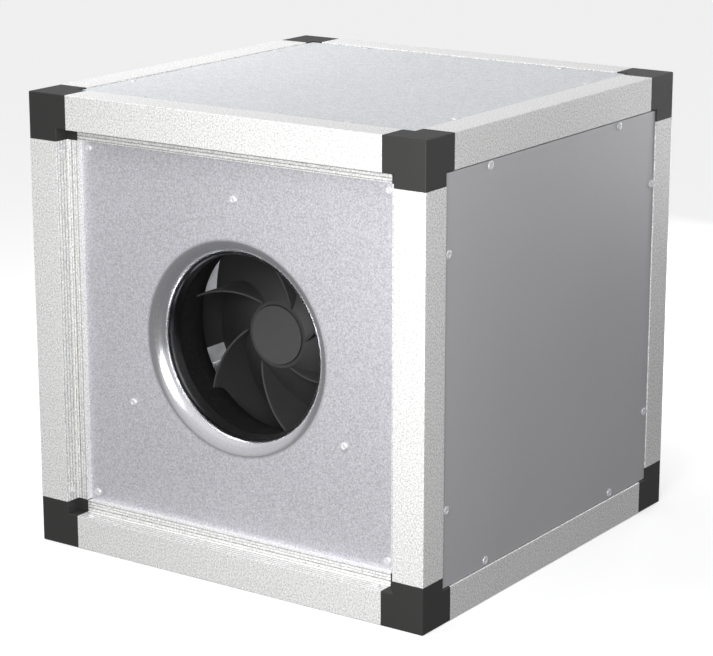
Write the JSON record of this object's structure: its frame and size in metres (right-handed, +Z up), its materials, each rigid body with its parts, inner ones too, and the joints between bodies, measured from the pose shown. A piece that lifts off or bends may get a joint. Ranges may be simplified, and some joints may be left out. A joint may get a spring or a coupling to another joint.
{
  "type": "inline duct fan",
  "caption": "Cube-shaped insulated box fan: aluminium profile frame with plastic corners, flush panels, and a bellmouth inlet plate before a backward-curved impeller.",
  "frame": {"origin": "middle of the underside of the casing, on the surface it stands on", "axes": "+Z up; +Y along the air's way, from the inlet plate to the open outlet side; +X to the right as seen from the inlet"},
  "size_m": [0.5, 0.5, 0.5],
  "materials": {
    "frame_aluminium": "brushed",
    "corner_plastic": "matt",
    "panel_steel": "galvanised",
    "mineral_wool": "fibrous",
    "foam_rubber": "matt",
    "screw_zinc": "satin",
    "inlet_steel": "galvanised",
    "support_steel": "galvanised",
    "impeller_plastic": "satin",
    "rotor_metal": "satin",
    "core_steel": "matt",
    "shaft_steel": "ground",
    "copper": "enamelled",
    "flange_aluminium": "cast",
    "box_plastic": "matt",
    "block_plastic": "matt",
    "gland_plastic": "matt",
    "lead_sheath": "matt",
    "grommet_rubber": "matt"
  },
  "bodies": {
    "casing": {"corner_front_left_bottom": "corner_plastic", "corner_front_left_top": "corner_plastic", "corner_rear_left_bottom": "corner_plastic", "corner_rear_left_top": "corner_plastic", "corner_front_right_bottom": "corner_plastic", "corner_front_right_top": "corner_plastic", "corner_rear_right_bottom": "corner_plastic", "corner_rear_right_top": "corner_plastic", "profile_front_bottom": "frame_aluminium", "profile_front_top": "frame_aluminium", "profile_rear_bottom": "frame_aluminium", "profile_rear_top": "frame_aluminium", "profile_left_bottom": "frame_aluminium", "profile_right_bottom": "frame_aluminium", "profile_left_top": "frame_aluminium", "profile_right_top": "frame_aluminium", "profile_front_left": "frame_aluminium", "profile_rear_left": "frame_aluminium", "profile_front_right": "frame_aluminium", "profile_rear_right": "frame_aluminium", "panel_right_outer_skin": "panel_steel", "panel_left_outer_skin": "panel_steel", "panel_top_outer_skin": "panel_steel", "panel_bottom_outer_skin": "panel_steel", "panel_wool": "mineral_wool", "panel_inner_skins": "panel_steel", "panel_gaskets": "foam_rubber", "panel_screws": "screw_zinc", "corner_screws": "screw_zinc", "inlet_plate": "inlet_steel", "inlet_plate_screws": "screw_zinc", "inlet_plate_cleats": "inlet_steel", "cleat_screws": "screw_zinc", "support_arm_top": "support_steel", "support_arm_left": "support_steel", "support_arm_right": "support_steel", "support_bolts": "screw_zinc", "support_nuts": "screw_zinc", "bearing_outer_rings": "shaft_steel", "stator_core": "core_steel", "stator_windings": "copper", "stator_flange": "flange_aluminium", "motor_screws": "screw_zinc", "terminal_box_base": "box_plastic", "terminal_box_lid": "box_plastic", "terminal_box_screws": "screw_zinc", "terminal_block": "block_plastic", "terminal_box_glands": "gland_plastic", "motor_lead": "lead_sheath", "entry_grommet": "grommet_rubber"},
    "impeller": {"impeller_shroud": "impeller_plastic", "impeller_hub": "impeller_plastic", "impeller_blades": "impeller_plastic", "impeller_screws": "screw_zinc", "rotor_shell": "rotor_metal", "rotor_core": "core_steel", "rotor_shaft": "shaft_steel", "shaft_circlip": "core_steel", "bearing_inner_rings": "shaft_steel"},
    "ball_train": {"bearing_balls": "shaft_steel"}
  },
  "joints": [
    {"name": "impeller_spin", "type": "hinge", "parent": "casing", "child": "impeller", "pos_m": [0, 0, 0.25], "axis": [0, 1, 0], "continuous": true},
    {"name": "ball_train_spin", "type": "hinge", "parent": "casing", "child": "ball_train", "pos_m": [0, 0, 0.25], "axis": [0, 1, 0], "continuous": true}
  ],
  "couplings": [
    {"joint": "ball_train_spin", "follows": "impeller_spin", "ratio": 0.38636}
  ]
}
